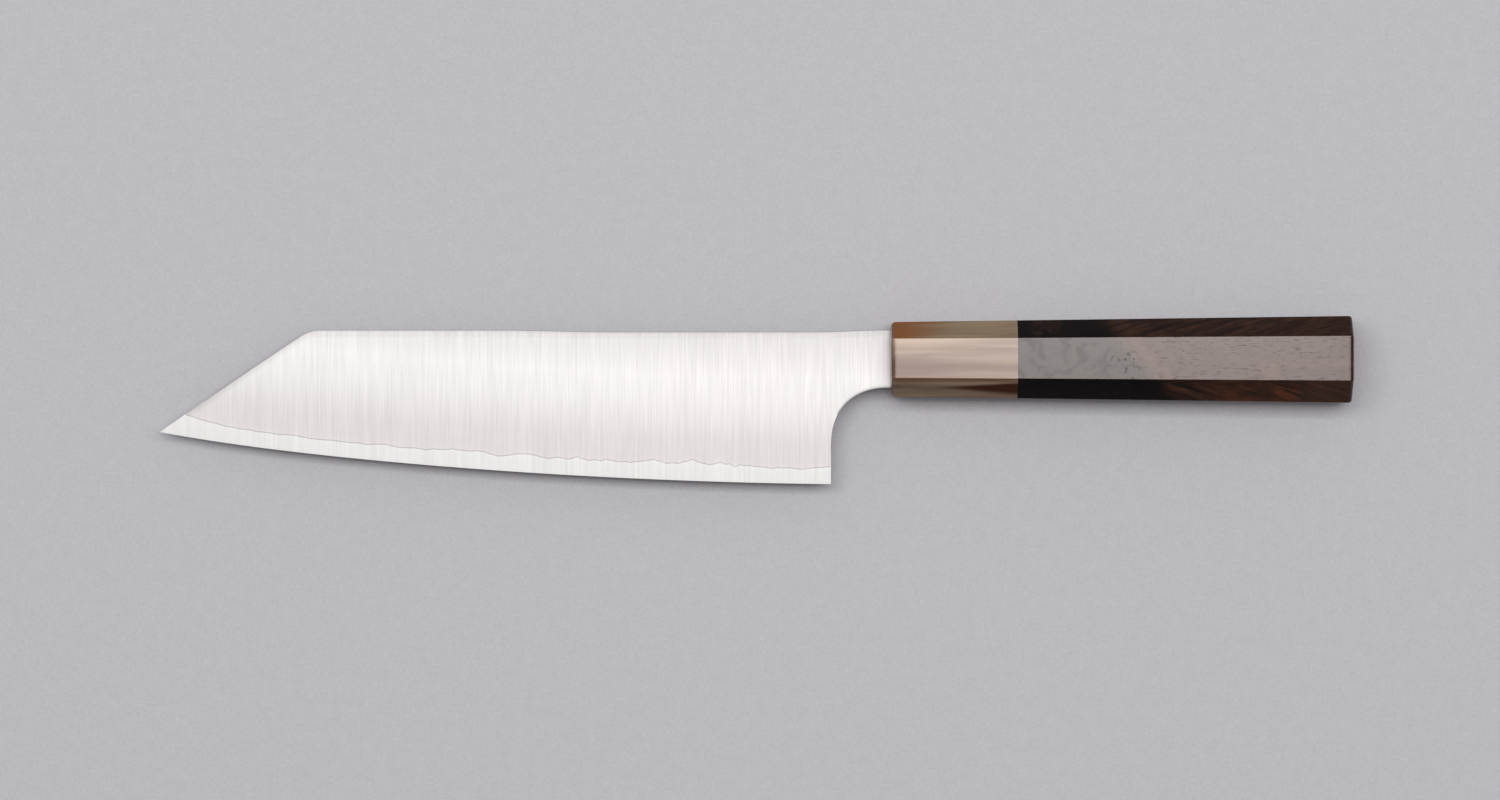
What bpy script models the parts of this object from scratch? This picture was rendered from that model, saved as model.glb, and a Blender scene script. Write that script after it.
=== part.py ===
"""Laminated chef's knife with an angled front, on an eight-sided handle of horn and ebony.

The knife is built in its own frame, with X from the tip to the butt, Y from the cutting edge to the
spine and Z across the blade. X = 0 is the front of the ferrule, Y = 0 and Z = 0 are the handle's axis.
The empty "knife_frame" then lays it on its side, with the handle's lower flat on the plane Z = 0 and
the origin under the middle of the whole knife.
"""

import math

import bmesh
import bpy
import numpy as np

# ---- Driving dimensions, in metres ---------------------------------------------------------------
EDGE_LENGTH = 0.210          # from the tip to the heel, along the knife
NECK_LENGTH = 0.0185         # from the heel to the ferrule
HANDLE_LENGTH = 0.1443
FERRULE_LENGTH = 0.0396

# Side view of the blade
HEEL_Y = -0.0390             # heel corner, below the handle's axis
SPINE_Y = 0.0092
SPINE_DIP = 0.00055          # shallow hollow along the back half of the spine
DIP_START, DIP_FULL = -0.122, -0.088
DIP_FADE, DIP_END = -0.022, -0.003
EDGE_SLOPE = 0.0119          # the cutting edge rises by these three terms ahead of the heel
EDGE_SWEEP = 0.278
EDGE_TIP_RISE = 0.00149
EDGE_TIP_POWER = 8
FRONT_LENGTH = 0.0467        # angled front, from the tip to its corner with the spine
FRONT_BULGE = 0.00025
FRONT_CORNER_BLEND = 0.0021
NECK_HEIGHT = 0.01806
CHOIL_HEIGHT = 0.01855       # hollow between heel and neck: a quarter of a superellipse
CHOIL_POWER = 2.3
TIP_HEIGHT = 0.00015

# Thickness of the blade and its three layers
NECK_THICKNESS = 0.0022
HEEL_THICKNESS = 0.0019
CORNER_THICKNESS = 0.0010
TANG_END_THICKNESS = 0.0016
CORE_HALF = 0.00022          # half thickness of the hard core
CORE_TIP_HALF = 0.00012
EDGE_HALF = 0.00003
GRIND_POWER = 1.45           # above 1, the sides are convex from the core's line to the spine
WELD_GAP = 0.00002           # stands for the forge weld between core and cladding
FEATHER = 0.00002            # thickness of the cladding where it runs out
LINE_HEIGHT = 0.0051         # core's line above the cutting edge
LINE_TIP_LIFT = 0.0018
LINE_TIP_FADE = 0.010
LINE_START = 0.0081          # the line meets the angled front here, behind the tip

# Hidden part of the blade
NECK_DEPTH = 0.0030          # full neck inside the ferrule
SHOULDER_LENGTH = 0.0016
TANG_LENGTH = 0.0950         # from the ferrule's front to the tang's end
TANG_ROOT_HEIGHT = 0.0096
TANG_END_HEIGHT = 0.0050

# Handle, front and butt: height, thickness, and the two chamfers' height
FRONT_SECTION = (0.0233, 0.0210, 0.0052, 0.0058)
BUTT_SECTION = (0.0271, 0.0230, 0.0062, 0.0068)
DOME = ((0.0, 0.0035), (0.00014, 0.0016), (0.00045, 0.0006), (0.0010, 0.0))  # (depth, inset)
GLUE_GAP = 0.00005

# Joint inside the handle
FERRULE_WALL = 0.0050        # horn in front of the bore
BORE_RADIUS = 0.0068
DOWEL_RADIUS = 0.0065
BORE_END = 0.1000
DOWEL_START, DOWEL_END = 0.0053, 0.0996
POCKET_HALF = (0.0054, 0.00175)
POCKET_END = 0.0975
BED_CLEARANCE = 0.00005
SLOT_CLEARANCE = 0.0003
SEAL_START, SEAL_END = 0.0006, 0.0032
OVERRUN = 0.001              # how far a cutter stands out of the face that it opens

BORE_SIDES = 48
BLADE_COLUMNS = 34
CHOIL_COLUMNS = 10
TANG_COLUMNS = 5
COLUMN_CROWDING = 0.45       # 0 spaces the columns evenly, more crowds them towards the tip
BAND_SHARE = 0.6             # largest share of a column's height that the core's band takes
UPPER_ROWS = 7               # rows from the choil's level to the spine
LOWER_ROWS = 3               # rows from the core's line to the choil's level

TIP_X = -(EDGE_LENGTH + NECK_LENGTH)
HEEL_X = -NECK_LENGTH
CORNER_X = TIP_X + FRONT_LENGTH
NECK_BOTTOM = SPINE_Y - NECK_HEIGHT
NECK_MIDDLE = SPINE_Y - NECK_HEIGHT / 2
CHOIL_START_Y = NECK_BOTTOM - CHOIL_HEIGHT


# ---- Side view -----------------------------------------------------------------------------------
def smoothstep(value, start, end):
    t = min(max((value - start) / (end - start), 0.0), 1.0)
    return t * t * (3 - 2 * t)


def edge_y(x):
    """Height of the cutting edge, ahead of the heel."""
    s = max(HEEL_X - x, 0.0)
    rise = EDGE_SLOPE * s + EDGE_SWEEP * s * s
    return HEEL_Y + rise + EDGE_TIP_RISE * (s / EDGE_LENGTH) ** EDGE_TIP_POWER


def front_y(x):
    """Height of the angled front, with its slight bulge."""
    u = (x - TIP_X) / FRONT_LENGTH
    tip_top = edge_y(TIP_X) + TIP_HEIGHT
    return tip_top + u * (SPINE_Y - tip_top) + 4 * FRONT_BULGE * u * (1 - u)


def top_y(x):
    """Height of the blade's upper outline: the angled front, then the spine."""
    dip = smoothstep(x, DIP_START, DIP_FULL) * (1 - smoothstep(x, DIP_FADE, DIP_END))
    spine = SPINE_Y - SPINE_DIP * dip
    if x > CORNER_X + FRONT_LENGTH / 2:
        return spine
    front = front_y(x)
    blend = max(FRONT_CORNER_BLEND - abs(front - spine), 0.0)
    return min(front, spine) - blend * blend / (4 * FRONT_CORNER_BLEND)


def line_y(x):
    """Height of the line where the cladding ends and the core shows."""
    behind = x - (TIP_X + LINE_START)
    return edge_y(x) + LINE_HEIGHT + LINE_TIP_LIFT * math.exp(-max(behind, 0.0) / LINE_TIP_FADE)


def choil_y(x):
    """Lower outline behind the heel, up to the ferrule."""
    u = min(max(-x / NECK_LENGTH, 0.0), 1.0)
    return NECK_BOTTOM - CHOIL_HEIGHT * (1 - (1 - u ** CHOIL_POWER) ** (1 / CHOIL_POWER))


def tang_height(x):
    start = NECK_DEPTH + SHOULDER_LENGTH
    return float(np.interp(x, (start, TANG_LENGTH), (TANG_ROOT_HEIGHT, TANG_END_HEIGHT)))


def thickness(x):
    """Thickness at the upper outline."""
    stations = (TIP_X + LINE_START, CORNER_X, HEEL_X, 0.0, TANG_LENGTH)
    values = (2 * CORE_HALF, CORNER_THICKNESS, HEEL_THICKNESS, NECK_THICKNESS, TANG_END_THICKNESS)
    return float(np.interp(x, stations, values))


def core_half(x):
    return float(np.interp(x, (TIP_X, TIP_X + LINE_START), (CORE_TIP_HALF, CORE_HALF)))


def outer_half(x, y):
    """Half thickness of the whole blade above the core's line."""
    bottom = line_y(min(x, HEEL_X))
    v = min(max((y - bottom) / max(top_y(x) - bottom, TIP_HEIGHT), 0.0), 1.0)
    skin = CORE_HALF + WELD_GAP + FEATHER
    full = max(thickness(x) / 2, skin)
    ground = skin + (full - skin) * (1 - (1 - v) ** GRIND_POWER)
    flat = smoothstep(x, HEEL_X, 0.0)
    return ground + (full - ground) * flat


# ---- The blade's grid ----------------------------------------------------------------------------
def spread(start, end, count):
    """Evenly spaced values from start to end, both included."""
    return [start + (end - start) * i / (count - 1) for i in range(count)]


def blade_columns(first_x, with_edge):
    """Columns of (x, y) from the front to the tang's end, each from its lowest row to its top.

    Behind the heel the columns hold only their upper rows, so the heel's back edge stays open.
    """
    level_share = (CHOIL_START_Y - line_y(HEEL_X)) / (top_y(HEEL_X) - line_y(HEEL_X))
    columns = []
    for i in range(BLADE_COLUMNS):
        u = i / (BLADE_COLUMNS - 1)
        x = first_x + (HEEL_X - first_x) * (u - COLUMN_CROWDING * u * (1 - u))
        top = top_y(x)
        edge = edge_y(x)
        highest_line = edge + BAND_SHARE * (top - edge) if with_edge else top - TIP_HEIGHT
        line = min(line_y(x), highest_line)
        level = line + (top - line) * level_share
        heights = spread(line, level, LOWER_ROWS + 1)[:-1] + spread(level, top, UPPER_ROWS)
        if with_edge:
            heights.insert(0, edge)
        columns.append([(x, y) for y in heights])

    for i in range(1, CHOIL_COLUMNS + 1):
        x = HEEL_X * math.cos(math.pi / 2 * i / CHOIL_COLUMNS) ** (2 / CHOIL_POWER)
        columns.append([(x, y) for y in spread(choil_y(x), top_y(x), UPPER_ROWS)])

    columns.append([(NECK_DEPTH, y) for y in spread(NECK_BOTTOM, SPINE_Y, UPPER_ROWS)])
    tang_start = NECK_DEPTH + SHOULDER_LENGTH
    for x in spread(tang_start, TANG_LENGTH, TANG_COLUMNS):
        half = tang_height(x) / 2
        columns.append([(x, y) for y in spread(NECK_MIDDLE - half, NECK_MIDDLE + half, UPPER_ROWS)])
    return columns


def plate_mesh(name, columns, upper, lower):
    """A thin closed solid over the columns' grid, between the surfaces upper(x, y) and lower(x, y)."""
    bm = bmesh.new()
    sheets = []
    for surface in (upper, lower):
        sheets.append([[bm.verts.new((x, y, surface(x, y))) for x, y in column] for column in columns])
    for sheet in sheets:
        for left, right in zip(sheet, sheet[1:]):
            rows = min(len(left), len(right)) - 1
            near, far = left[-rows - 1:], right[-rows - 1:]
            for i in range(rows):
                bm.faces.new((near[i], far[i], far[i + 1], near[i + 1]))

    twin = {a: b for up, low in zip(*sheets) for a, b in zip(up, low)}
    rim = [edge for edge in bm.edges if edge.is_boundary and edge.verts[0] in twin]
    for edge in rim:
        a, b = edge.verts
        bm.faces.new((a, b, twin[b], twin[a]))
    bmesh.ops.recalc_face_normals(bm, faces=bm.faces)
    mesh = bpy.data.meshes.new(name)
    bm.to_mesh(mesh)
    bm.free()
    return mesh


# ---- Solids of the handle ------------------------------------------------------------------------
def octagon(x, inset=0.0):
    """The handle's section at x, inset all round by the same distance."""
    u = x / HANDLE_LENGTH
    height, depth, spine_cut, edge_cut = (
        a + (b - a) * u for a, b in zip(FRONT_SECTION, BUTT_SECTION)
    )
    shrink = inset * (2 - math.sqrt(2))
    top, side = height / 2 - inset, depth / 2 - inset
    spine_cut -= shrink
    edge_cut -= shrink
    spine_corners = [(top, side - spine_cut), (top - spine_cut, side)]
    edge_corners = [(edge_cut - top, side), (-top, side - edge_cut)]
    upper = spine_corners + edge_corners
    return upper + [(y, -z) for y, z in reversed(upper)]


def loft_mesh(name, rings):
    """A closed solid through rings of the same number of points, capped at both ends."""
    bm = bmesh.new()
    loops = [[bm.verts.new((x, y, z)) for y, z in points] for x, points in rings]
    for near, far in zip(loops, loops[1:]):
        for i in range(len(near)):
            j = (i + 1) % len(near)
            bm.faces.new((near[i], near[j], far[j], far[i]))
    bm.faces.new(loops[0])
    bm.faces.new(loops[-1])
    bmesh.ops.recalc_face_normals(bm, faces=bm.faces)
    mesh = bpy.data.meshes.new(name)
    bm.to_mesh(mesh)
    bm.free()
    return mesh


def box_rings(start, end, half_start, half_end, middle=0.0):
    """Two rectangular rings, for a box or a taper whose (Y, Z) half sizes are given."""
    rings = []
    for x, (half_y, half_z) in ((start, half_start), (end, half_end)):
        corners = ((1, 1), (-1, 1), (-1, -1), (1, -1))
        rings.append((x, [(middle + half_y * a, half_z * b) for a, b in corners]))
    return rings


def cylinder(name, start, end, radius, collection):
    """A round bar along X."""
    bm = bmesh.new()
    bmesh.ops.create_cone(bm, cap_ends=True, segments=BORE_SIDES, radius1=radius, radius2=radius,
                          depth=end - start)
    mesh = bpy.data.meshes.new(name)
    bm.to_mesh(mesh)
    bm.free()
    bar = add_object(name, mesh, collection)
    bar.rotation_euler = (0, math.pi / 2, 0)
    bar.location = ((start + end) / 2, 0, 0)
    return bar


# ---- Scene helpers -------------------------------------------------------------------------------
def clear_scene():
    for item in list(bpy.data.objects):
        bpy.data.objects.remove(item, do_unlink=True)


def new_collection(name):
    collection = bpy.data.collections.new(name)
    bpy.context.scene.collection.children.link(collection)
    return collection


def add_object(name, mesh, collection):
    item = bpy.data.objects.new(name, mesh)
    collection.objects.link(item)
    item.parent = knife_frame
    return item


def cut(target, cutter):
    """Takes the cutter's shape out of the target."""
    modifier = target.modifiers.new(cutter.name, "BOOLEAN")
    modifier.operation = "DIFFERENCE"
    modifier.object = cutter
    cutter.hide_render = True
    cutter.display_type = "WIRE"


def give_material(item, name, colour, roughness, metallic=0.0):
    material = bpy.data.materials.get(name) or bpy.data.materials.new(name)
    material.use_nodes = True
    shader = material.node_tree.nodes["Principled BSDF"]
    shader.inputs["Base Color"].default_value = (*colour, 1.0)
    shader.inputs["Roughness"].default_value = roughness
    shader.inputs["Metallic"].default_value = metallic
    item.data.materials.clear()
    item.data.materials.append(material)


def shade(item, angle=30):
    item.data.shade_smooth()
    item.data.set_sharp_from_angle(angle=math.radians(angle))


# ---- Sub-parts -----------------------------------------------------------------------------------
def make_core():
    """Hard core steel: shows as a band along the edge, then runs between the claddings to the tang."""
    def half(x, y):
        if x <= HEEL_X and y <= edge_y(x):
            return EDGE_HALF
        return core_half(x)

    columns = blade_columns(TIP_X, with_edge=True)
    mesh = plate_mesh("core_steel", columns, half, lambda x, y: -half(x, y))
    core = add_object("core_steel", mesh, parts)
    give_material(core, "core_steel", (0.80, 0.79, 0.78), 0.25, 1.0)
    shade(core)


def make_cladding(name, side):
    """One soft outer layer, on the side of the core given by +1 or -1."""
    inner = side * (CORE_HALF + WELD_GAP)
    columns = blade_columns(TIP_X + LINE_START, with_edge=False)
    mesh = plate_mesh(name, columns, lambda x, y: side * outer_half(x, y), lambda x, y: inner)
    layer = add_object(name, mesh, parts)
    give_material(layer, "cladding_steel", (0.78, 0.77, 0.75), 0.35, 1.0)
    shade(layer)


def make_ferrule():
    """Horn collar at the front of the handle, slotted for the neck and bored for the dowel."""
    rings = [(depth, octagon(depth, inset)) for depth, inset in DOME]
    end = FERRULE_LENGTH - GLUE_GAP / 2
    rings.append((end, octagon(end)))
    ferrule = add_object("horn_ferrule", loft_mesh("horn_ferrule", rings), parts)
    slot_half = (NECK_HEIGHT / 2 + SLOT_CLEARANCE, NECK_THICKNESS / 2 + SLOT_CLEARANCE)
    slot_rings = box_rings(-OVERRUN, FERRULE_WALL + OVERRUN, slot_half, slot_half, NECK_MIDDLE)
    slot = add_object("neck_slot_cutter", loft_mesh("neck_slot_cutter", slot_rings), cutters)
    bore = cylinder("ferrule_bore_cutter", FERRULE_WALL, FERRULE_LENGTH + OVERRUN, BORE_RADIUS, cutters)
    cut(ferrule, slot)
    cut(ferrule, bore)
    give_material(ferrule, "buffalo_horn", (0.52, 0.40, 0.30), 0.30)


def make_handle_body():
    """Ebony body behind the ferrule, with a blind bore for the dowel."""
    start = FERRULE_LENGTH + GLUE_GAP / 2
    rings = [(start, octagon(start))]
    for depth, inset in reversed(DOME):
        x = HANDLE_LENGTH - depth
        rings.append((x, octagon(x, inset)))
    body = add_object("handle_body", loft_mesh("handle_body", rings), parts)
    cut(body, cylinder("body_bore_cutter", start - OVERRUN, BORE_END, BORE_RADIUS, cutters))
    give_material(body, "ebony", (0.045, 0.026, 0.020), 0.40)


def make_dowel():
    """Hardwood dowel that joins ferrule and body and holds the tang in its pocket."""
    dowel = cylinder("tenon_dowel", DOWEL_START, DOWEL_END, DOWEL_RADIUS, parts)
    rings = box_rings(DOWEL_START - OVERRUN, POCKET_END, POCKET_HALF, POCKET_HALF, NECK_MIDDLE)
    pocket = add_object("tang_pocket_cutter", loft_mesh("tang_pocket_cutter", rings), cutters)
    cut(dowel, pocket)
    give_material(dowel, "dowel_wood", (0.55, 0.38, 0.22), 0.6)
    shade(dowel)


def make_bedding():
    """Resin that fills the dowel's pocket round the tang."""
    half = [size - BED_CLEARANCE for size in POCKET_HALF]
    rings = box_rings(DOWEL_START, POCKET_END - BED_CLEARANCE, half, half, NECK_MIDDLE)
    bedding = add_object("tang_bedding", loft_mesh("tang_bedding", rings), parts)
    start = NECK_DEPTH + SHOULDER_LENGTH
    sizes = [
        (tang_height(x) / 2 + BED_CLEARANCE, thickness(x) / 2 + BED_CLEARANCE)
        for x in (start, TANG_LENGTH)
    ]
    hole_rings = box_rings(start, TANG_LENGTH + BED_CLEARANCE, sizes[0], sizes[1], NECK_MIDDLE)
    hole = add_object("tang_hole_cutter", loft_mesh("tang_hole_cutter", hole_rings), cutters)
    cut(bedding, hole)
    give_material(bedding, "bedding_resin", (0.62, 0.50, 0.32), 0.3)


def make_mouth_seal():
    """Thin ring of wax round the neck, inside the ferrule's slot."""
    outer = (NECK_HEIGHT / 2 + SLOT_CLEARANCE - BED_CLEARANCE,
             NECK_THICKNESS / 2 + SLOT_CLEARANCE - BED_CLEARANCE)
    inner = (NECK_HEIGHT / 2 + BED_CLEARANCE, NECK_THICKNESS / 2 + BED_CLEARANCE)
    ring = loft_mesh("ferrule_mouth_seal", box_rings(SEAL_START, SEAL_END, outer, outer, NECK_MIDDLE))
    seal = add_object("ferrule_mouth_seal", ring, parts)
    hole_rings = box_rings(SEAL_START - OVERRUN, SEAL_END + OVERRUN, inner, inner, NECK_MIDDLE)
    cut(seal, add_object("seal_hole_cutter", loft_mesh("seal_hole_cutter", hole_rings), cutters))
    give_material(seal, "seal_wax", (0.35, 0.27, 0.18), 0.5)


def lay_on_side():
    """Tilts the knife by the handle's half taper, so that the handle's lower flat lies on Z = 0."""
    taper = math.atan2((BUTT_SECTION[1] - FRONT_SECTION[1]) / 2, HANDLE_LENGTH)
    knife_frame.rotation_euler = (0, -taper, 0)
    middle_x = (TIP_X + HANDLE_LENGTH) / 2 * math.cos(taper)
    middle_y = (HEEL_Y + BUTT_SECTION[0] / 2) / 2
    knife_frame.location = (-middle_x, -middle_y, FRONT_SECTION[1] / 2 * math.cos(taper))


clear_scene()
parts = new_collection("chef_knife")
cutters = new_collection("cutters")
knife_frame = bpy.data.objects.new("knife_frame", None)
parts.objects.link(knife_frame)

make_core()
make_cladding("cladding_left", 1)
make_cladding("cladding_right", -1)
make_ferrule()
make_handle_body()
make_dowel()
make_bedding()
make_mouth_seal()
lay_on_side()
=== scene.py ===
"""Looks of the laminated chef's knife: fine blade and handle meshes, procedural materials, soft studio light.

Shapes are built in the knife's own frame: X from the tip to the butt, Y from edge to spine, Z across the
blade, with the origin on the handle's axis at the ferrule's front. place() then lays them on the side,
as the CAD frame has them.
"""

import math

import bmesh
import bpy
import numpy as np
from mathutils import Matrix, Vector, noise


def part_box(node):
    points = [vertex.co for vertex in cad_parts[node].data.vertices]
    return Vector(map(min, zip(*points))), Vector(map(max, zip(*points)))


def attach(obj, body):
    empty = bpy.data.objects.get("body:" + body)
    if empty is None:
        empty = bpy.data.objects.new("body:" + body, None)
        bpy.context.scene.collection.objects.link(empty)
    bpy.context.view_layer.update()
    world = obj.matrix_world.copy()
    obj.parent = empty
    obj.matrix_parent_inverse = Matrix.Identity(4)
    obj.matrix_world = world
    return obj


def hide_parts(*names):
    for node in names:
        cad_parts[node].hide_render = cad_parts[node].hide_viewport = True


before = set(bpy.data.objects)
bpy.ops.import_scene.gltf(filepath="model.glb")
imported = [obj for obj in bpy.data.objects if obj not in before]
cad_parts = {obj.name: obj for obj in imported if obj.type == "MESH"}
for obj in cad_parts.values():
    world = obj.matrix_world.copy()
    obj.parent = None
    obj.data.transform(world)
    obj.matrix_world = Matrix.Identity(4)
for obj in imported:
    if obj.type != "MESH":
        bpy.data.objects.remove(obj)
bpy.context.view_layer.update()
MM = 0.001

# ---- Sizes read from the CAD frame -----------------------------------------------------------------
CORE_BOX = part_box("core_steel")
FERRULE_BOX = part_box("horn_ferrule")
BODY_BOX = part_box("handle_body")
DOWEL_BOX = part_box("tenon_dowel")

# Handle sections, front and butt: height, thickness, spine-side chamfer, edge-side chamfer
FRONT_SECTION = (23.3 * MM, 21.0 * MM, 5.2 * MM, 5.8 * MM)
BUTT_SECTION = (27.1 * MM, 23.0 * MM, 6.2 * MM, 6.8 * MM)
HANDLE_LENGTH = BODY_BOX[1][0] - FERRULE_BOX[0][0]
TAPER = math.atan2((BUTT_SECTION[1] - FRONT_SECTION[1]) / 2, HANDLE_LENGTH)
AXIS_Y = (BODY_BOX[0][1] + BODY_BOX[1][1]) / 2
FERRULE_FRONT = (FERRULE_BOX[0][0], AXIS_Y, FRONT_SECTION[1] / 2)
PLACE = Matrix.Translation(FERRULE_FRONT) @ Matrix.Rotation(-TAPER, 4, "Y")

TIP_X = CORE_BOX[0][0] - FERRULE_BOX[0][0]
HEEL_Y = CORE_BOX[0][1] - AXIS_Y
SPINE_Y = CORE_BOX[1][1] - AXIS_Y
NECK_LENGTH = 18.5 * MM
HEEL_X = -NECK_LENGTH
EDGE_LENGTH = HEEL_X - TIP_X
JOINT_X = (FERRULE_BOX[1][0] + BODY_BOX[0][0]) / 2 - FERRULE_BOX[0][0]

# ---- Shape of the blade ------------------------------------------------------------------------------
SPINE_DIP = 0.55 * MM
DIP_START, DIP_FULL, DIP_FADE, DIP_END = -122 * MM, -88 * MM, -22 * MM, -3 * MM
EDGE_SLOPE, EDGE_SWEEP, EDGE_TIP_RISE, EDGE_TIP_POWER = 0.0119, 0.278, 1.49 * MM, 8
FRONT_LENGTH, FRONT_BULGE, FRONT_CORNER_BLEND = 46.7 * MM, 0.25 * MM, 2.1 * MM
NECK_HEIGHT, CHOIL_HEIGHT, CHOIL_POWER = 18.06 * MM, 18.55 * MM, 2.3
TIP_HEIGHT = 0.15 * MM
NECK_THICKNESS, HEEL_THICKNESS, CORNER_THICKNESS = 2.2 * MM, 1.9 * MM, 1.0 * MM
TANG_END_THICKNESS = 1.6 * MM
EDGE_HALF = 0.03 * MM
GRIND_POWER = 1.45
WELD_GAP = 0.01 * MM
EASE = 0.14 * MM                     # rounding where spine, neck and choil meet the sides
NECK_DEPTH, SHOULDER_LENGTH, TANG_LENGTH = 3.0 * MM, 1.6 * MM, 95.0 * MM
TANG_ROOT_HEIGHT, TANG_END_HEIGHT = 9.6 * MM, 5.0 * MM
# Core's line: distance ahead of the heel, height above the cutting edge
LINE_POINTS = ((0, 5.6), (2, 5.3), (10, 4.2), (20, 4.9), (41, 5.7), (88, 5.2), (135, 4.8), (178, 4.8),
               (192, 5.3), (202, 6.9))
LINE_START = 8.1 * MM

CORNER_X = TIP_X + FRONT_LENGTH
NECK_BOTTOM = SPINE_Y - NECK_HEIGHT
NECK_MIDDLE = SPINE_Y - NECK_HEIGHT / 2
CHOIL_START_Y = NECK_BOTTOM - CHOIL_HEIGHT

BAND_SHARE = 0.8                     # largest share of a column's height that the core's band takes
EASE_SHARE = 0.7                     # largest share of the half thickness that is rounded
CHOIL_EASE_START = 0.5 * MM          # behind the heel
NECK_FLAT_X = -1.5 * MM              # the grind ends here
WAVE_MEAN = 0.22                     # typical height of the noise that makes the line's waves
LARGE_WAVE, SMALL_WAVE = (8.0, 2.6), (3.0, 0.7)  # length and height, in millimetres
COLUMN_STEP = 0.5 * MM
CHOIL_COLUMNS = 40
BAND_ROWS = 4                        # rows of the core's band below the line
LOWER_ROWS = 8                       # rows from the line to the choil's level
INNER_ROWS = 22                      # rows from the choil's level to the spine, without the eased ones


def smoothstep(value, start, end):
    t = min(max((value - start) / (end - start), 0.0), 1.0)
    return t * t * (3 - 2 * t)


def edge_y(x):
    """Height of the cutting edge, ahead of the heel."""
    s = max(HEEL_X - x, 0.0)
    return HEEL_Y + EDGE_SLOPE * s + EDGE_SWEEP * s * s + EDGE_TIP_RISE * (s / EDGE_LENGTH) ** EDGE_TIP_POWER


def top_y(x):
    """Upper outline: the angled front, a rounded corner, then the spine with its shallow dip."""
    dip = smoothstep(x, DIP_START, DIP_FULL) * (1 - smoothstep(x, DIP_FADE, DIP_END))
    spine = SPINE_Y - SPINE_DIP * dip
    if x > CORNER_X + FRONT_LENGTH / 2:
        return spine
    u = (x - TIP_X) / FRONT_LENGTH
    tip_top = edge_y(TIP_X) + TIP_HEIGHT
    front = tip_top + u * (SPINE_Y - tip_top) + 4 * FRONT_BULGE * u * (1 - u)
    blend = max(FRONT_CORNER_BLEND - abs(front - spine), 0.0)
    return min(front, spine) - blend * blend / (4 * FRONT_CORNER_BLEND)


def line_waves(x):
    """Small irregular waves of the core's line, with pointed dips, liveliest in the back half."""
    ahead = (HEEL_X - x) / MM
    lively = 0.35 + 0.65 * smoothstep(ahead, 12, 30) * (1 - smoothstep(ahead, 100, 135))
    large = abs(noise.noise(Vector((ahead / LARGE_WAVE[0], 3.7, 0.0)))) - WAVE_MEAN
    small = abs(noise.noise(Vector((ahead / SMALL_WAVE[0], 9.1, 0.0)))) - WAVE_MEAN
    calm = smoothstep(ahead, 0, 3) * smoothstep(x, TIP_X + LINE_START, TIP_X + 2 * LINE_START)
    return MM * lively * calm * (LARGE_WAVE[1] * large + SMALL_WAVE[1] * small)


def line_y(x):
    """Height of the line where the cladding ends and the core shows."""
    ahead = (HEEL_X - x) / MM
    places, heights = zip(*LINE_POINTS)
    samples = [np.interp(ahead + shift, places, heights) for shift in (-4, -2, 0, 2, 4)]
    return edge_y(x) + float(np.mean(samples)) * MM + line_waves(x)


def choil_y(x):
    """Lower outline behind the heel: a quarter of a superellipse."""
    u = min(max(-x / NECK_LENGTH, 0.0), 1.0)
    return NECK_BOTTOM - CHOIL_HEIGHT * (1 - (1 - u ** CHOIL_POWER) ** (1 / CHOIL_POWER))


def thickness(x):
    stations = (TIP_X, CORNER_X, HEEL_X, 0.0, TANG_LENGTH)
    values = (2 * EDGE_HALF, CORNER_THICKNESS, HEEL_THICKNESS, NECK_THICKNESS, TANG_END_THICKNESS)
    return float(np.interp(x, stations, values))


def ground_half(x, y):
    """Half thickness of the ground blade: convex from the edge to the spine, flat at the neck."""
    bottom = edge_y(min(x, HEEL_X))
    top = top_y(x)
    w = min(max((y - bottom) / (top - bottom), 0.0), 1.0)
    full = max(thickness(x) / 2, EDGE_HALF)
    ground = EDGE_HALF + (full - EDGE_HALF) * (1 - (1 - w) ** GRIND_POWER)
    return ground + (full - ground) * smoothstep(x, HEEL_X, NECK_FLAT_X)


def eased_half(x, y):
    """ground_half with rounded borders along the spine, the neck and the choil."""
    half = ground_half(x, y)
    reach = min(EASE, EASE_SHARE * half)
    gap = top_y(x) - y
    if x > HEEL_X + CHOIL_EASE_START:
        gap = min(gap, y - choil_y(min(x, 0.0)))
    if x > 0 or gap >= reach:
        return half
    return half - reach + math.sqrt(max(reach * reach - (reach - gap) ** 2, 0.0))


def tang_height(x):
    start = NECK_DEPTH + SHOULDER_LENGTH
    return float(np.interp(x, (start, TANG_LENGTH), (TANG_ROOT_HEIGHT, TANG_END_HEIGHT)))


def spread(start, end, count):
    return [start + (end - start) * i / (count - 1) for i in range(count)]


def eased_heights(bottom, top):
    """Rows from bottom to top, closer together at both borders."""
    reach = min(EASE, 0.2 * (top - bottom))
    steps = [0.0, 0.12, 0.4, 1.0]
    low = [bottom + reach * s for s in steps]
    high = [top - reach * s for s in reversed(steps)]
    return low[:-1] + spread(low[-1], high[0], INNER_ROWS) + high[1:]


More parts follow.
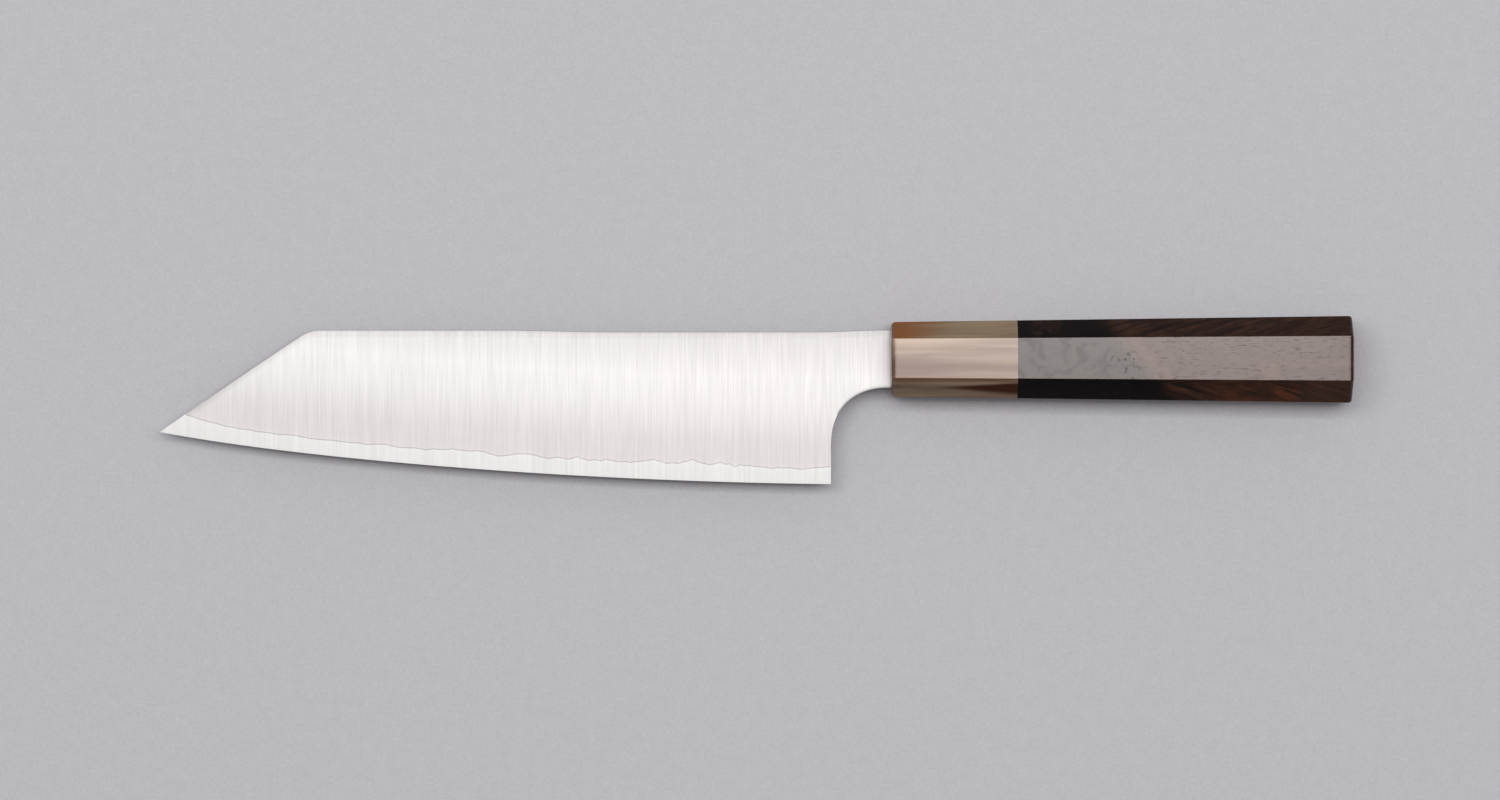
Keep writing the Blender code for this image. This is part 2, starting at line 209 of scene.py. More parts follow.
def blade_columns(first_x, with_band):
    """Columns of (x, y) from the front to the tang's end. Behind the heel only the upper rows go on."""
    count = int((HEEL_X - first_x) / COLUMN_STEP)
    full = top_y(HEEL_X) - line_y(HEEL_X)
    columns = []
    for x in spread(first_x, HEEL_X, count):
        top = top_y(x)
        edge = edge_y(x)
        highest_line = edge + BAND_SHARE * (top - edge) if with_band else top - 0.2 * TIP_HEIGHT
        line = min(line_y(x), highest_line)
        level = line + (top - line) * (CHOIL_START_Y - line_y(HEEL_X)) / full
        heights = spread(line, level, LOWER_ROWS + 1)[:-1] + eased_heights(level, top)
        if with_band:
            heights = spread(edge, line, BAND_ROWS + 1)[:-1] + heights
        columns.append([(x, y) for y in heights])
    for i in range(1, CHOIL_COLUMNS + 1):
        x = HEEL_X * math.cos(math.pi / 2 * i / CHOIL_COLUMNS) ** (2 / CHOIL_POWER)
        columns.append([(x, y) for y in eased_heights(choil_y(x), top_y(x))])
    columns.append([(NECK_DEPTH, y) for y in eased_heights(NECK_BOTTOM, SPINE_Y)])
    for x in spread(NECK_DEPTH + SHOULDER_LENGTH, TANG_LENGTH, 6):
        half = tang_height(x) / 2
        columns.append([(x, y) for y in eased_heights(NECK_MIDDLE - half, NECK_MIDDLE + half)])
    return columns


# ---- Mesh helpers ------------------------------------------------------------------------------------
SHARP_ANGLE = math.radians(35)


def finish_piece(name, bm, replaced, material):
    """Turns the bmesh into an object of the frame's root body, in place of a CAD node."""
    bmesh.ops.recalc_face_normals(bm, faces=bm.faces)
    bm.transform(PLACE)
    mesh = bpy.data.meshes.new(name)
    bm.to_mesh(mesh)
    bm.free()
    mesh.shade_smooth()
    mesh.set_sharp_from_angle(angle=SHARP_ANGLE)
    piece = bpy.data.objects.new(name, mesh)
    bpy.context.scene.collection.objects.link(piece)
    mesh.materials.append(material)
    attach(piece, "root")
    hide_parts(replaced)
    return piece


def plate(columns, upper, lower):
    """A thin closed solid over the columns' grid, with its distances from edge, line and top stored."""
    bm = bmesh.new()
    above_edge = bm.verts.layers.float.new("above_edge")
    above_line = bm.verts.layers.float.new("above_line")
    below_top = bm.verts.layers.float.new("below_top")
    sheets = []
    for surface in (upper, lower):
        sheet = []
        for column in columns:
            points = []
            ahead_x = min(column[0][0], HEEL_X)
            edge, line = edge_y(ahead_x), line_y(ahead_x)
            for x, y in column:
                vert = bm.verts.new((x, y, surface(x, y)))
                vert[above_edge] = (y - edge) / MM
                vert[above_line] = (y - line) / MM
                vert[below_top] = (top_y(x) - y) / MM
                points.append(vert)
            sheet.append(points)
        sheets.append(sheet)
    for sheet in sheets:
        for left, right in zip(sheet, sheet[1:]):
            rows = min(len(left), len(right)) - 1
            near, far = left[-rows - 1:], right[-rows - 1:]
            for i in range(rows):
                bm.faces.new((near[i], far[i], far[i + 1], near[i + 1]))
    twin = {a: b for up, low in zip(*sheets) for a, b in zip(up, low)}
    rim = [edge for edge in bm.edges if edge.is_boundary and edge.verts[0] in twin]
    for edge in rim:
        a, b = edge.verts
        bm.faces.new((a, b, twin[b], twin[a]))
    return bm


def core_half(x, y):
    """Half thickness of the core: the ground surface up to the line, and level above it."""
    line = line_y(min(x, HEEL_X))
    return ground_half(min(x, HEEL_X), min(y, line))


def cladding_inner(x, y):
    return core_half(x, y) + WELD_GAP


def cladding_outer(x, y):
    return max(eased_half(x, y), cladding_inner(x, y) + WELD_GAP)


# ---- Handle shapes -----------------------------------------------------------------------------------
CORNER_RADIUS = 0.35 * MM
CORNER_STEPS = 3
DOME_REACH, DOME_DEPTH, DOME_POWER = 5.0 * MM, 0.7 * MM, 2.2
RIM_RADIUS = 0.8 * MM
DOME_INSETS = (5.0, 3.8, 2.8, 2.0, 1.4, 1.0, 0.8, 0.66, 0.52, 0.38, 0.26, 0.15, 0.07, 0.02, 0.0)  # mm
DOME_END = 2.5 * MM                  # the straight part's rings start here, behind the dome
FERRULE_RINGS, BODY_RINGS = 10, 24
GLUE_GAP = 0.02 * MM                 # from the joint to either piece
FIT_GAP = 0.3 * MM                   # round the neck and the dowel
BORE_END_GAP = 0.4 * MM
OVERRUN = 1 * MM                     # how far a cutter stands out of the face that it opens


def octagon(x, inset):
    """Rounded eight-sided section at x, as (y, z) points, inset all round."""
    u = x / HANDLE_LENGTH
    height, depth, spine_cut, edge_cut = (a + (b - a) * u for a, b in zip(FRONT_SECTION, BUTT_SECTION))
    shrink = inset * (2 - math.sqrt(2))
    top, side = height / 2 - inset, depth / 2 - inset
    spine_cut -= shrink
    edge_cut -= shrink
    half = [(top, side - spine_cut), (top - spine_cut, side), (edge_cut - top, side), (-top, side - edge_cut)]
    corners = [Vector(p) for p in half + [(y, -z) for y, z in reversed(half)]]
    points = []
    for i, corner in enumerate(corners):
        before = (corners[i - 1] - corner).normalized()
        after = (corners[(i + 1) % len(corners)] - corner).normalized()
        turn = before.angle(after)
        centre = corner + (before + after).normalized() * CORNER_RADIUS / math.sin(turn / 2)
        start = corner + before * CORNER_RADIUS / math.tan(turn / 2) - centre
        end = corner + after * CORNER_RADIUS / math.tan(turn / 2) - centre
        for step in range(CORNER_STEPS + 1):
            arm = start.lerp(end, step / CORNER_STEPS).normalized() * CORNER_RADIUS
            points.append(centre + arm)
    return points


def dome_rings(end_x, inwards):
    """Rings of a domed end, from its flat middle to the full section; inwards is +1 or -1 along X."""
    rings = []
    for inset in (value * MM for value in DOME_INSETS):
        depth = DOME_DEPTH * (1 - inset / DOME_REACH) ** DOME_POWER
        if inset < RIM_RADIUS:
            depth += RIM_RADIUS - math.sqrt(RIM_RADIUS ** 2 - (RIM_RADIUS - inset) ** 2)
        x = end_x + inwards * depth
        rings.append((x, octagon(x, inset)))
    return rings


def loft(rings):
    bm = bmesh.new()
    loops = [[bm.verts.new((x, y, z)) for y, z in points] for x, points in rings]
    for near, far in zip(loops, loops[1:]):
        for i in range(len(near)):
            j = (i + 1) % len(near)
            bm.faces.new((near[i], near[j], far[j], far[i]))
    bm.faces.new(loops[0])
    bm.faces.new(loops[-1])
    return bm


def cut(piece, cutter_bm):
    """Takes the cutter's shape, given in the knife's own frame, out of the piece."""
    bmesh.ops.recalc_face_normals(cutter_bm, faces=cutter_bm.faces)
    cutter_bm.transform(PLACE)
    mesh = bpy.data.meshes.new("cutter")
    cutter_bm.to_mesh(mesh)
    cutter_bm.free()
    cutter = bpy.data.objects.new("cutter", mesh)
    bpy.context.scene.collection.objects.link(cutter)
    modifier = piece.modifiers.new("cut", "BOOLEAN")
    modifier.operation = "DIFFERENCE"
    modifier.solver = "EXACT"
    modifier.object = cutter
    depsgraph = bpy.context.evaluated_depsgraph_get()
    result = bpy.data.meshes.new_from_object(piece.evaluated_get(depsgraph))
    piece.modifiers.clear()
    piece.data = result
    bpy.data.objects.remove(cutter)
    result.shade_smooth()
    result.set_sharp_from_angle(angle=SHARP_ANGLE)


def level_normals(piece):
    """Lets vertex normals follow the larger faces, so that the wide flats shade level."""
    modifier = piece.modifiers.new("normals", "WEIGHTED_NORMAL")
    modifier.mode = "FACE_AREA"
    modifier.weight = 100
    modifier.keep_sharp = True
    depsgraph = bpy.context.evaluated_depsgraph_get()
    result = bpy.data.meshes.new_from_object(piece.evaluated_get(depsgraph))
    piece.modifiers.clear()
    piece.data = result


def box_bmesh(low, high):
    bm = bmesh.new()
    bmesh.ops.create_cube(bm, size=1.0)
    size = Vector(high) - Vector(low)
    bmesh.ops.scale(bm, vec=size, verts=bm.verts)
    bmesh.ops.translate(bm, vec=(Vector(low) + Vector(high)) / 2, verts=bm.verts)
    return bm


def bar_bmesh(start, end, radius):
    bm = bmesh.new()
    bmesh.ops.create_cone(bm, cap_ends=True, segments=64, radius1=radius, radius2=radius, depth=end - start)
    bmesh.ops.rotate(bm, cent=(0, 0, 0), matrix=Matrix.Rotation(math.pi / 2, 3, "Y"), verts=bm.verts)
    bmesh.ops.translate(bm, vec=((start + end) / 2, 0, 0), verts=bm.verts)
    return bm


# ---- Node helpers ------------------------------------------------------------------------------------
class Shader:
    """Builds one node material. Values passed as numbers or colours are set on the node's own socket."""

    def __init__(self, name, **sockets):
        self.material = bpy.data.materials.new(name)
        self.material.use_nodes = True
        self.tree = self.material.node_tree
        self.bsdf = self.tree.nodes["Principled BSDF"]
        for label, value in sockets.items():
            self.feed(self.bsdf, label.replace("_", " "), value)
        self.place = self.node("ShaderNodeTexCoord").outputs["Object"]

    def feed(self, node, socket, value):
        target = node.inputs[socket]
        if isinstance(value, bpy.types.NodeSocket):
            self.tree.links.new(value, target)
        elif isinstance(value, tuple) and target.type == "RGBA":
            target.default_value = (*value, 1.0)
        else:
            target.default_value = value

    def node(self, kind, settings=None, **sockets):
        node = self.tree.nodes.new(kind)
        for label, value in (settings or {}).items():
            setattr(node, label, value)
        for label, value in sockets.items():
            self.feed(node, label, value)
        return node

    def attribute(self, name):
        return self.node("ShaderNodeAttribute", {"attribute_name": name}).outputs["Fac"]

    def math(self, operation, a, b=0.0, c=0.0):
        node = self.node("ShaderNodeMath", {"operation": operation})
        for i, value in enumerate((a, b, c)):
            self.feed(node, i, value)
        return node.outputs[0]

    def noise(self, stretch, detail=3.0, roughness=0.5, turn=(0, 0, 0), offset=(0, 0, 0), distortion=0.0):
        """Noise from 0 to 1; stretch gives its features per metre along each axis."""
        mapping = self.node("ShaderNodeMapping", Vector=self.place, Rotation=turn, Scale=stretch,
                            Location=offset)
        node = self.node("ShaderNodeTexNoise", Vector=mapping.outputs[0], Scale=1.0, Detail=detail,
                         Roughness=roughness, Distortion=distortion)
        return node.outputs["Fac"]

    def field(self, position, stretch, detail=3.0, roughness=0.5, distortion=0.0):
        """Noise over three given coordinates; stretch gives its features per unit of each."""
        vector = self.node("ShaderNodeCombineXYZ")
        for i, (value, scale) in enumerate(zip(position, stretch)):
            self.feed(vector, i, self.math("MULTIPLY", value, scale))
        node = self.node("ShaderNodeTexNoise", Vector=vector.outputs[0], Scale=1.0, Detail=detail,
                         Roughness=roughness, Distortion=distortion)
        return node.outputs["Fac"]

    def span(self, value, low, high, to_low=0.0, to_high=1.0, smooth=True):
        """Maps value from low..high to to_low..to_high, clamped."""
        node = self.node("ShaderNodeMapRange", {"interpolation_type": "SMOOTHSTEP" if smooth else "LINEAR"})
        for i, number in enumerate((value, low, high, to_low, to_high)):
            self.feed(node, i, number)
        return node.outputs[0]

    def ramp(self, value, stops):
        """Colour ramp through (position, colour) stops."""
        node = self.node("ShaderNodeValToRGB", Fac=value)
        elements = node.color_ramp.elements
        while len(elements) < len(stops):
            elements.new(0.5)
        for element, (position, colour) in zip(elements, stops):
            element.position = position
            element.color = (*colour, 1.0)
        return node.outputs["Color"]

    def mix(self, factor, a, b, blend="MIX"):
        node = self.node("ShaderNodeMix", {"data_type": "RGBA", "blend_type": blend})
        self.feed(node, 0, factor)
        self.feed(node, 6, a)
        self.feed(node, 7, b)
        return node.outputs[2]

    def bump(self, height, strength, distance):
        node = self.node("ShaderNodeBump", Height=height, Strength=strength, Distance=distance)
        self.feed(self.bsdf, "Normal", node.outputs[0])

    def coordinate(self, axis):
        split = self.node("ShaderNodeSeparateXYZ", Vector=self.place)
        return split.outputs[axis]


# ---- Materials ---------------------------------------------------------------------------------------
def steel_finish(shader, tone):
    """Fine upright scratches over the given tone; on the cladding that tone holds a painted reflection."""
    fine = shader.noise((2600, 60, 60), detail=2.0)
    wide = shader.noise((240, 12, 12), detail=2.0)
    streak = shader.math("MULTIPLY_ADD", shader.math("SUBTRACT", fine, 0.5), 0.09, 1.0)
    veil = shader.math("MULTIPLY_ADD", shader.math("SUBTRACT", wide, 0.5), 0.03, 1.0)
    both = shader.math("MULTIPLY", streak, veil)
    shader.feed(shader.bsdf, "Base Color", shader.mix(1.0, tone, both, "MULTIPLY"))
    rough = shader.math("MULTIPLY_ADD", fine, 0.14, 0.48)
    shader.feed(shader.bsdf, "Roughness", rough)
    shader.bump(fine, 0.25, 0.01 * MM)


def cladding_material():
    shader = Shader("satin_cladding_painted_reflection", Metallic=1.0)
    height = shader.attribute("above_edge")
    # Painted reflection: the steel's tone ramps with height above the edge, brightest in the middle of the
    # blade and darker towards the edge and the spine.
    tone = shader.ramp(shader.span(height, 0, 50, smooth=False), [
        (0.11, (0.523, 0.506, 0.500)),
        (0.26, (0.527, 0.512, 0.506)),
        (0.38, (0.562, 0.550, 0.544)),
        (0.50, (0.594, 0.584, 0.580)),
        (0.66, (0.610, 0.600, 0.594)),
        (0.80, (0.560, 0.550, 0.546)),
        (0.92, (0.520, 0.510, 0.506)),
    ])
    # Painted shade: the tone darkens within 2.4 mm below the top, where the rounded spine turns from the
    # light.
    rim = shader.span(shader.attribute("below_top"), 0.0, 2.4, 0.80, 1.0, smooth=False)
    tone = shader.mix(1.0, tone, rim, "MULTIPLY")
    # Painted shade: a darker band on the neck just ahead of the ferrule, in place of a darker reflection
    # there.
    ferrule = FERRULE_BOX[0][0]
    neck = shader.span(shader.coordinate(0), ferrule - 9 * MM, ferrule - 2 * MM, 1.0, 0.92)
    tone = shader.mix(1.0, tone, neck, "MULTIPLY")
    line = shader.span(shader.attribute("above_line"), 0.16, 0.42, 0.70, 1.0)
    steel_finish(shader, shader.mix(1.0, tone, line, "MULTIPLY"))
    return shader.material


def core_material():
    shader = Shader("bright_core", Metallic=1.0)
    height = shader.attribute("above_edge")
    tone = shader.ramp(shader.span(height, 0, 6, smooth=False), [
        (0.0, (0.555, 0.555, 0.550)),
        (0.15, (0.575, 0.576, 0.570)),
        (1.0, (0.580, 0.580, 0.573)),
    ])
    steel_finish(shader, tone)
    return shader.material


def handle_axes(shader):
    """Millimetres behind the ferrule's front, and from the handle's axis towards the spine."""
    along = shader.math("MULTIPLY_ADD", shader.coordinate(0), 1 / MM, -FERRULE_BOX[0][0] / MM)
    across = shader.math("MULTIPLY_ADD", shader.coordinate(1), 1 / MM, -AXIS_Y / MM)
    return along, across


def past_flat(shader, along, across):
    """Distance outside the wide flat, in millimetres: positive on the spine side's and edge side's faces."""
    top, side = FRONT_SECTION[0] / 2 / MM, (FRONT_SECTION[2] + FRONT_SECTION[3]) / 2 / MM
    middle = (FRONT_SECTION[3] - FRONT_SECTION[2]) / 2 / MM
    growth = (BUTT_SECTION[0] / 2 - BUTT_SECTION[2] - FRONT_SECTION[0] / 2 + FRONT_SECTION[2]) / HANDLE_LENGTH
    border = shader.math("MULTIPLY_ADD", along, growth, top - side)
    return shader.math("SUBTRACT", shader.math("ABSOLUTE", shader.math("SUBTRACT", across, middle)), border)


def horn_material():
    """Pale horn with lengthwise streaks: amber at the spine side in front, a dark vein at the edge side."""
    shader = Shader("marbled_horn", IOR=1.36)
    along, across = handle_axes(shader)
    outside = past_flat(shader, along, across)
    flow = shader.noise((16, 330, 330), detail=4.0, roughness=0.55, distortion=0.3)
    broad = shader.noise((9, 130, 130), detail=2.0, offset=(0.4, 1.3, 0.2))
    wander = shader.math("MULTIPLY_ADD", shader.math("SUBTRACT", broad, 0.5), 9.0, across)
    level = shader.math("MULTIPLY_ADD", shader.math("SUBTRACT", flow, 0.5), 9.0, wander)
    flat = shader.ramp(shader.span(level, -7.0, 7.0, smooth=False), [
        (0.05, (0.260, 0.150, 0.105)),
        (0.32, (0.155, 0.078, 0.052)),
        (0.56, (0.215, 0.130, 0.088)),
        (0.80, (0.450, 0.320, 0.225)),
    ])
    pale = shader.mix(shader.span(flow, 0.3, 0.7), (0.190, 0.125, 0.085), (0.420, 0.315, 0.225))
    rear = shader.span(shader.math("MULTIPLY_ADD", flow, 14.0, along), 14, 42)
    flat = shader.mix(shader.math("MULTIPLY", rear, 0.55), flat, pale)
    amber = shader.mix(flow, (0.300, 0.110, 0.032), (0.150, 0.062, 0.024))
    khaki = shader.mix(shader.span(flow, 0.35, 0.65), (0.140, 0.092, 0.054), (0.270, 0.200, 0.128))
    spine_side = shader.mix(shader.span(shader.math("MULTIPLY_ADD", flow, 26.0, along), 16, 36), amber, khaki)
    edge_side = shader.mix(shader.span(flow, 0.3, 0.7), (0.110, 0.068, 0.048), (0.270, 0.195, 0.135))
    brim = shader.span(outside, 0.0, 1.6, 0.75, 0.0)
    edge_side = shader.mix(brim, edge_side, (0.130, 0.058, 0.024))
    reach = shader.span(along, 11, 38, -0.6, 2.0, smooth=False)
    ragged = shader.math("MULTIPLY_ADD", flow, 2.4, shader.math("MULTIPLY", broad, 1.2))
    middle = shader.math("ABSOLUTE", shader.math("ADD", across, shader.math("ADD", ragged, 7.2)))
    vein = shader.span(shader.math("SUBTRACT", reach, middle), -0.9, 0.7)
    edge_side = shader.mix(vein, edge_side, (0.042, 0.011, 0.003))
    beyond = shader.span(outside, -0.1, 0.1)
    sides = shader.mix(shader.math("GREATER_THAN", across, 0.0), edge_side, spine_side)
    tone = shader.mix(beyond, flat, sides)
    tone = shader.mix(shader.span(along, 0.25, 1.0, 0.75, 0.0), tone, (0.070, 0.035, 0.020))
    shader.feed(shader.bsdf, "Base Color", tone)
    shader.feed(shader.bsdf, "Roughness", shader.span(flow, 0.3, 0.7, 0.17, 0.13))
    shader.bump(flow, 0.05, 0.05 * MM)
    return shader.material


def ebony_material():
    """Ebony: near black by the ferrule, brown with slanting grain towards the butt."""
    shader = Shader("dark_ebony", IOR=1.34)
    along, across = handle_axes(shader)
    outside = past_flat(shader, along, across)
    on_flat = shader.span(outside, -0.1, 0.1, 1.0, 0.0)
    slant = shader.span(across, -7.5, 7.5, 0.32, -0.32, smooth=False)
    level = shader.math("ADD", across, shader.math("MULTIPLY", along, slant))
    depth = shader.math("MULTIPLY", shader.coordinate(2), 1 / MM)
    grain = shader.field((along, level, depth), (0.05, 0.85, 0.25), detail=5.0, roughness=0.6, distortion=0.5)
    band = shader.field((along, level, depth), (0.03, 0.16, 0.08), detail=3.0, roughness=0.5, distortion=0.6)
    mottle = shader.noise((150, 190, 190), detail=4.0, roughness=0.6, offset=(0.31, 0.12, 0.4),
                          distortion=1.2)
    brown = shader.ramp(grain, [
        (0.30, (0.0060, 0.0030, 0.0020)),
        (0.48, (0.0230, 0.0090, 0.0050)),
        (0.62, (0.0470, 0.0190, 0.0095)),
        (0.80, (0.0950, 0.0400, 0.0200)),
    ])
    rust = shader.math("MULTIPLY", shader.span(band, 0.55, 0.72), 0.8)
    brown = shader.mix(rust, brown, (0.085, 0.027, 0.011))
    worn = shader.math("MULTIPLY", shader.span(along, 121, 132), shader.span(across, -7.0, -3.0, 0.45, 0.0))
    brown = shader.mix(worn, brown, (0.070, 0.032, 0.020))
    brown = shader.mix(shader.math("MULTIPLY", on_flat, 0.8), brown, (0.050, 0.017, 0.009))
    patch = shader.span(shader.math("ABSOLUTE", shader.math("SUBTRACT", along, 123.0)), 1.0, 6.0, 0.7, 0.0)
    patch = shader.math("MULTIPLY", patch, shader.span(across, -11.0, -6.5, 1.0, 0.0))
    patch = shader.math("MULTIPLY", patch, shader.span(grain, 0.35, 0.60))
    brown = shader.mix(patch, brown, (0.150, 0.042, 0.014))
    border = shader.math("MULTIPLY_ADD", across, 0.95, shader.math("MULTIPLY_ADD", band, 14.0, along))
    tone = shader.mix(shader.span(border, 80, 89), (0.0025, 0.0010, 0.0008), brown)
    knot = shader.math("MULTIPLY", shader.span(along, 43, 46), shader.span(along, 50, 55, 1.0, 0.0))
    knot = shader.math("MULTIPLY", knot, shader.span(mottle, 0.42, 0.62))
    knot = shader.math("MULTIPLY", knot, shader.span(across, 5.0, 7.0))
    tone = shader.mix(knot, tone, (0.026, 0.010, 0.006))

    # Pinkish patches on the flat: a slanting one in the middle, and one near the butt with a tail
    near = shader.math("ABSOLUTE", shader.math("SUBTRACT", shader.math("ADD", along, across), 79.0))
    near = shader.span(near, 1.5, 6.0, 1.0, 0.0)
    wide = shader.span(shader.math("ABSOLUTE", shader.math("SUBTRACT", along, 118.0)), 1.0, 5.0, 1.0, 0.0)
    wide = shader.math("MULTIPLY", wide, shader.span(across, -2.0, 0.5, 1.0, 0.0))
    tail = shader.span(shader.math("ABSOLUTE", shader.math("ADD", across, 1.6)), 0.4, 2.0, 0.6, 0.0)
    tail = shader.math("MULTIPLY", tail, shader.span(along, 117, 122))
    blush = shader.math("MAXIMUM", near, shader.math("MAXIMUM", wide, tail))
    blush = shader.math("MULTIPLY", blush, shader.span(mottle, 0.30, 0.60, 0.25, 1.0))
    blush = shader.math("MULTIPLY", blush, on_flat)
    tone = shader.mix(shader.math("MULTIPLY", blush, 0.36), tone, (0.165, 0.075, 0.052))

    # Fine lengthwise pores, and a cluster of small knots ahead of the middle
    pores = shader.noise((420, 3400, 3400), detail=1.0, turn=(0, 0, 0.06))
    pore = shader.math("MULTIPLY", shader.span(pores, 0.60, 0.70), shader.span(along, 66, 84, 0.25, 1.0))
    dots = shader.span(shader.noise((650, 800, 800), detail=1.0, offset=(0.2, 0.5, 0.1)), 0.58, 0.66)
    cluster = shader.math("MULTIPLY", shader.span(along, 67, 70), shader.span(along, 76, 79, 1.0, 0.0))
    cluster = shader.math("MULTIPLY", cluster, shader.span(across, 1.0, 3.5, 1.0, 0.0))
    dots = shader.math("MULTIPLY", dots, cluster)
    dark = shader.math("MAXIMUM", dots, shader.math("MULTIPLY", pore, 0.8))
    shader.feed(shader.bsdf, "Base Color", shader.mix(dark, tone, (0.003, 0.002, 0.0015)))
    curl = shader.math("MULTIPLY", shader.span(mottle, 0.46, 0.62), shader.span(along, 66, 80, 1.0, 0.35))
    rough = shader.math("MULTIPLY_ADD", curl, 0.04, 0.14)
    rough = shader.math("MULTIPLY_ADD", pore, 0.06, rough)
    shader.feed(shader.bsdf, "Roughness", shader.math("MULTIPLY_ADD", dots, 0.10, rough))
    shader.bump(shader.math("MULTIPLY", pore, -1.0), 0.10, 0.02 * MM)
    return shader.material


def dowel_material():
    shader = Shader("dowel_hardwood", Roughness=0.6)
    grain = shader.noise((30, 900, 900), detail=4.0)
    tone = shader.ramp(grain, [(0.3, (0.42, 0.25, 0.12)), (0.7, (0.62, 0.42, 0.24))])
    shader.feed(shader.bsdf, "Base Color", tone)
    shader.bump(grain, 0.2, 0.05 * MM)
    return shader.material


def resin_material(name, dark, light, roughness):
    shader = Shader(name, Roughness=roughness)
    cloud = shader.noise((260, 260, 260), detail=3.0)
    shader.feed(shader.bsdf, "Base Color", shader.ramp(cloud, [(0.3, dark), (0.7, light)]))
    shader.bump(cloud, 0.15, 0.05 * MM)
    return shader.material


def paper_material():
    shader = Shader("paper_floor", Roughness=0.95)
    fibre = shader.noise((1100, 1100, 1100), detail=3.0, roughness=0.7)
    cloud = shader.noise((260, 260, 260), detail=3.0)
    weave = shader.span(fibre, 0.3, 0.7, smooth=False)
    tone = shader.mix(weave, (0.520, 0.520, 0.548), (0.594, 0.592, 0.615))
    veil = shader.span(cloud, 0.3, 0.7, 0.985, 1.015)
    shader.feed(shader.bsdf, "Base Color", shader.mix(1.0, tone, veil, "MULTIPLY"))
    shader.bump(fibre, 0.35, 0.05 * MM)
    return shader.material


# ---- Pieces ------------------------------------------------------------------------------------------
def on_side(surface, side):
    """The surface on one side of the blade: +1 is the left, -1 the right."""
    return lambda x, y: side * surface(x, y)


def make_blade():
    core_columns = blade_columns(TIP_X, with_band=True)
    core = plate(core_columns, core_half, on_side(core_half, -1))
    finish_piece("blade_core", core, "core_steel", core_material())
    skin = cladding_material()
    columns = blade_columns(TIP_X + LINE_START, with_band=False)
    sides = (("blade_side_left", "cladding_left", 1), ("blade_side_right", "cladding_right", -1))
    for name, node, side in sides:
        layer = plate(columns, on_side(cladding_outer, side), on_side(cladding_inner, side))
        finish_piece(name, layer, node, skin)


def make_handle():
    bore_radius = (DOWEL_BOX[1][1] - DOWEL_BOX[0][1]) / 2 + FIT_GAP
    bore_start = DOWEL_BOX[0][0] - FERRULE_BOX[0][0] - FIT_GAP
    bore_end = DOWEL_BOX[1][0] - FERRULE_BOX[0][0] + BORE_END_GAP
    front_rings = dome_rings(0.0, 1)
    ferrule_rings = [(x, octagon(x, 0.0)) for x in spread(DOME_END, JOINT_X - GLUE_GAP, FERRULE_RINGS)]
    loft_rings = front_rings + ferrule_rings
    ferrule = finish_piece("horn_collar", loft(loft_rings), "horn_ferrule", horn_material())
    half_y, half_z = NECK_HEIGHT / 2 + FIT_GAP, NECK_THICKNESS / 2 + FIT_GAP
    slot_low = (-OVERRUN, NECK_MIDDLE - half_y, -half_z)
    slot_high = (bore_start + OVERRUN, NECK_MIDDLE + half_y, half_z)
    cut(ferrule, box_bmesh(slot_low, slot_high))
    cut(ferrule, bar_bmesh(bore_start, JOINT_X + OVERRUN, bore_radius))
    level_normals(ferrule)

    body_places = spread(JOINT_X + GLUE_GAP, HANDLE_LENGTH - DOME_END, BODY_RINGS)
    body_rings = [(x, octagon(x, 0.0)) for x in body_places]
    butt_rings = list(reversed(dome_rings(HANDLE_LENGTH, -1)))
    body = finish_piece("ebony_grip", loft(body_rings + butt_rings), "handle_body", ebony_material())
    cut(body, bar_bmesh(JOINT_X - OVERRUN, bore_end, bore_radius))
    level_normals(body)


def dress_hidden_nodes():
    """Procedural materials for the CAD pieces inside the handle."""
    looks = {
        "tenon_dowel": dowel_material(),
        "tang_bedding": resin_material("bedding_resin", (0.45, 0.30, 0.14), (0.62, 0.46, 0.26), 0.25),
        "ferrule_mouth_seal": resin_material("seal_wax", (0.20, 0.13, 0.07), (0.32, 0.22, 0.13), 0.5),
    }
    for name, material in looks.items():
        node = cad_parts[name]
        node.data.materials.clear()
        node.data.materials.append(material)


# ---- Studio ------------------------------------------------------------------------------------------
PHOTO_WIDTH = 469.45 * MM            # width of the view, at the blade
LENS, SENSOR = 135.0, 36.0
VIEW_SHIFT = (-1.75 * MM, 0.05 * MM)  # middle of the view from the middle of the knife
FLOOR_HALF = 4.0
FLOOR_GAP = 0.05 * MM                # below the handle's flat
SKY_LOW = (0.08, (0.03, 0.03, 0.032))  # height of the direction, colour
SKY_HIGH = (0.35, (0.32, 0.32, 0.33))
SKY_SIDES = (-1.0, 1.0, 0.5, 1.3)    # from the edge's side to the spine's, and the brightness at each
BACKDROP = (0.50, 0.49, 0.52)


def make_floor():
    bm = bmesh.new()
    bmesh.ops.create_grid(bm, x_segments=8, y_segments=8, size=FLOOR_HALF)
    mesh = bpy.data.meshes.new("floor")
    bm.to_mesh(mesh)
    bm.free()
    floor = bpy.data.objects.new("floor", mesh)
    floor.location.z = -FLOOR_GAP
    bpy.context.scene.collection.objects.link(floor)
    mesh.materials.append(paper_material())


def make_camera():
    data = bpy.data.cameras.new("camera")
    data.lens = LENS
    data.sensor_width = SENSOR
    camera = bpy.data.objects.new("camera", data)
    blade_z = (CORE_BOX[0][2] + CORE_BOX[1][2]) / 2
    camera.location = (*VIEW_SHIFT, blade_z + PHOTO_WIDTH * LENS / SENSOR)
    bpy.context.scene.collection.objects.link(camera)
    bpy.context.scene.camera = camera


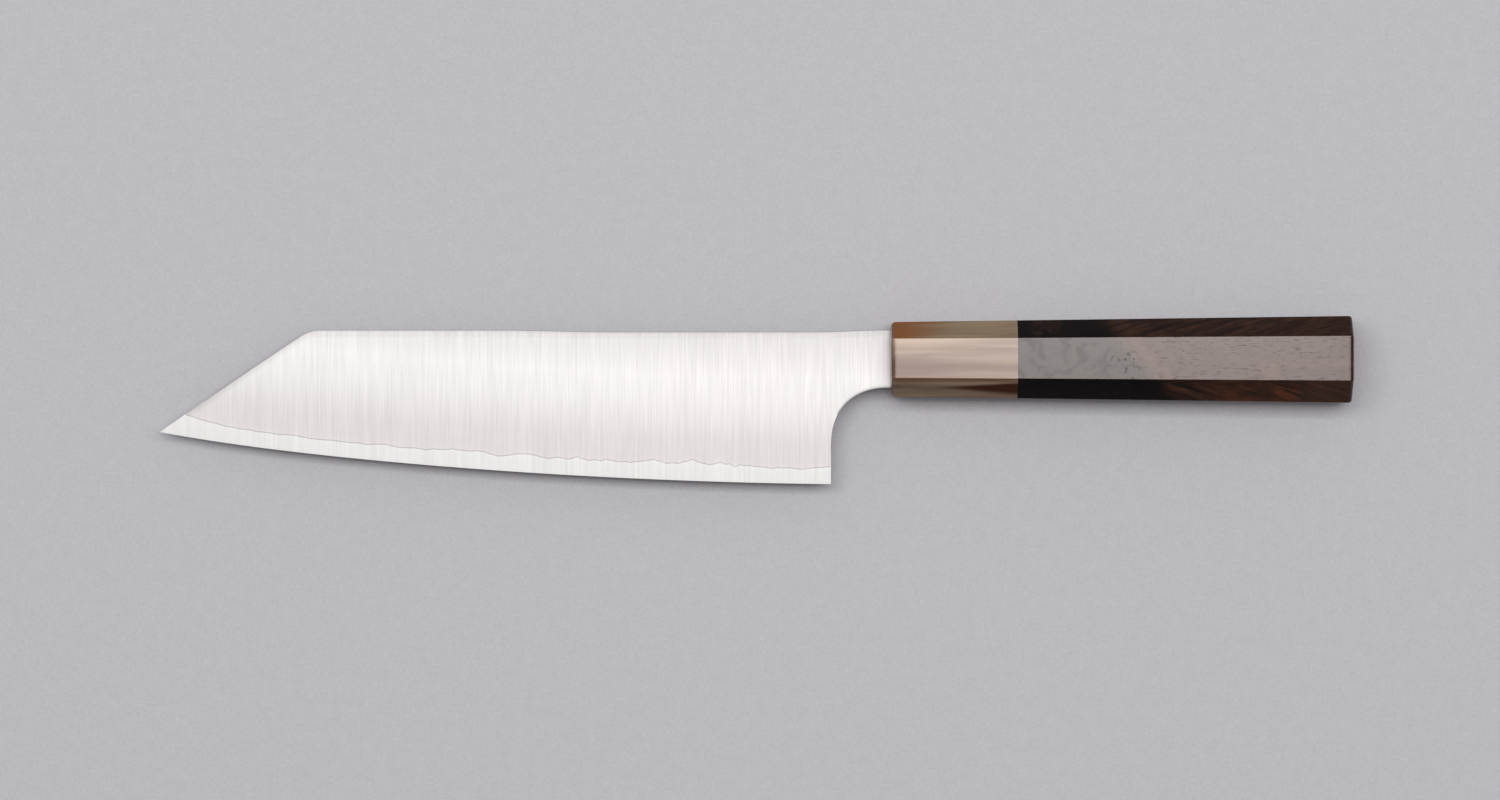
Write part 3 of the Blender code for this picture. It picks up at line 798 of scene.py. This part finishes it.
def make_softbox(name, centre, size, power, colour=(1.0, 1.0, 1.0)):
    data = bpy.data.lights.new(name, "AREA")
    data.shape = "RECTANGLE"
    data.size, data.size_y = size
    data.energy = power
    data.color = colour
    light = bpy.data.objects.new(name, data)
    light.location = centre
    bpy.context.scene.collection.objects.link(light)


def make_world():
    """Soft surroundings, brighter overhead; behind the floor's edge the view itself stays pale."""
    world = bpy.data.worlds.new("studio")
    bpy.context.scene.world = world
    world.use_nodes = True
    tree = world.node_tree
    background = tree.nodes["Background"]
    coordinates = tree.nodes.new("ShaderNodeTexCoord")
    split = tree.nodes.new("ShaderNodeSeparateXYZ")
    path = tree.nodes.new("ShaderNodeLightPath")

    ramp = tree.nodes.new("ShaderNodeValToRGB")
    for element, (position, colour) in zip(ramp.color_ramp.elements, (SKY_LOW, SKY_HIGH)):
        element.position = position
        element.color = (*colour, 1.0)

    side = tree.nodes.new("ShaderNodeMapRange")
    for i, number in enumerate(SKY_SIDES, start=1):
        side.inputs[i].default_value = number

    shade = tree.nodes.new("ShaderNodeMix")
    shade.data_type = "RGBA"
    shade.blend_type = "MULTIPLY"
    shade.inputs[0].default_value = 1.0

    mix = tree.nodes.new("ShaderNodeMix")
    mix.data_type = "RGBA"
    mix.inputs[7].default_value = (*BACKDROP, 1.0)

    link = tree.links.new
    link(coordinates.outputs["Generated"], split.inputs[0])
    link(split.outputs[1], side.inputs[0])
    link(split.outputs[2], ramp.inputs[0])
    link(ramp.outputs["Color"], shade.inputs[6])
    link(side.outputs[0], shade.inputs[7])
    link(path.outputs["Is Camera Ray"], mix.inputs[0])
    link(shade.outputs[2], mix.inputs[6])
    link(mix.outputs[2], background.inputs["Color"])


make_camera()
make_floor()
make_world()
make_softbox("key", (-0.1, 0.45, 2.2), (2.4, 0.66), 30.6)
make_softbox("top", (0.20, 0.08, 2.15), (0.50, 0.26), 6.0, (1.0, 0.91, 0.87))
make_blade()
make_handle()
dress_hidden_nodes()
bpy.context.scene.view_settings.view_transform = "Standard"
